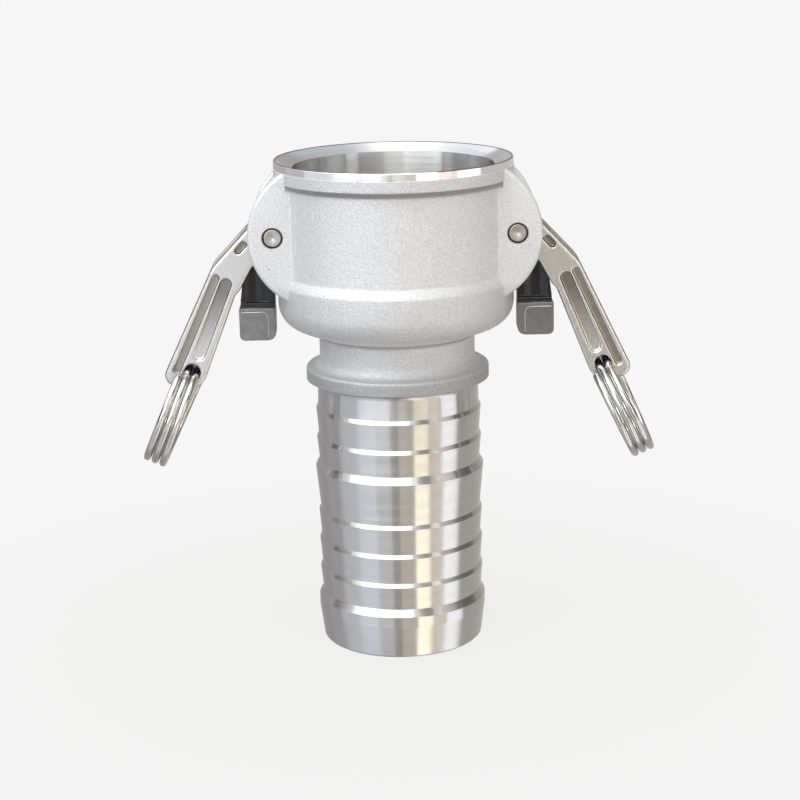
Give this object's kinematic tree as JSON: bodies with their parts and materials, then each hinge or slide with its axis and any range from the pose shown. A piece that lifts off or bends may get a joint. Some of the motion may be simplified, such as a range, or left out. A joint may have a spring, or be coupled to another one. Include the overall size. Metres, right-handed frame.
{
  "type": "cam and groove coupling",
  "caption": "Cam and groove hose coupling: a socket with self-locking cam arms and pull rings on a barbed hose shank.",
  "frame": {"origin": "on the coupling's axis, in the plane of the hose shank's end face", "axes": "+Z along the axis, out of the socket's mouth; the cam arms lie along +X and -X, and the arm pins run along Y"},
  "size_m": [0.1662, 0.076, 0.1584],
  "materials": {
    "cast_body": "sand-blasted stainless casting, turned rim and hose shank",
    "cam_arm": "satin stainless casting",
    "pin": "turned stainless steel",
    "lock_lever": "dark polished stainless steel",
    "spring": "drawn stainless wire",
    "pull_ring": "bright stainless wire",
    "gasket": "moulded black nitrile rubber"
  },
  "bodies": {
    "coupling": {"body": "cast_body", "gasket": "gasket", "right_arm_pin": "pin", "left_arm_pin": "pin", "right_lock_spring": "spring", "left_lock_spring": "spring"},
    "right_arm": {"right_arm": "cam_arm"},
    "left_arm": {"left_arm": "cam_arm"},
    "right_lock": {"right_lock_lever": "lock_lever"},
    "left_lock": {"left_lock_lever": "lock_lever"},
    "right_ring": {"right_pull_ring": "pull_ring"},
    "left_ring": {"left_pull_ring": "pull_ring"}
  },
  "joints": [
    {"name": "right_arm_hinge", "type": "hinge", "parent": "coupling", "child": "right_arm", "pos_m": [0.0381, 0, 0.136], "axis": [0, -1, 0], "range_deg": [-20, 76]},
    {"name": "right_lock_hinge", "type": "hinge", "parent": "coupling", "child": "right_lock", "pos_m": [0.0381, 0, 0.136], "axis": [0, -1, 0], "range_deg": [0, 12], "stiffness_Nm_per_rad": 0.05, "springref_deg": -22.92},
    {"name": "right_ring_hinge", "type": "hinge", "parent": "right_arm", "child": "right_ring", "pos_m": [0.06583, 0, 0.09142], "axis": [0, -1, 0], "range_deg": [-30, 140]},
    {"name": "left_arm_hinge", "type": "hinge", "parent": "coupling", "child": "left_arm", "pos_m": [-0.0381, 0, 0.136], "axis": [0, 1, 0], "range_deg": [-20, 76]},
    {"name": "left_lock_hinge", "type": "hinge", "parent": "coupling", "child": "left_lock", "pos_m": [-0.0381, 0, 0.136], "axis": [0, 1, 0], "range_deg": [0, 12], "stiffness_Nm_per_rad": 0.05, "springref_deg": -22.92},
    {"name": "left_ring_hinge", "type": "hinge", "parent": "left_arm", "child": "left_ring", "pos_m": [-0.06583, 0, 0.09142], "axis": [0, 1, 0], "range_deg": [-30, 140]}
  ]
}
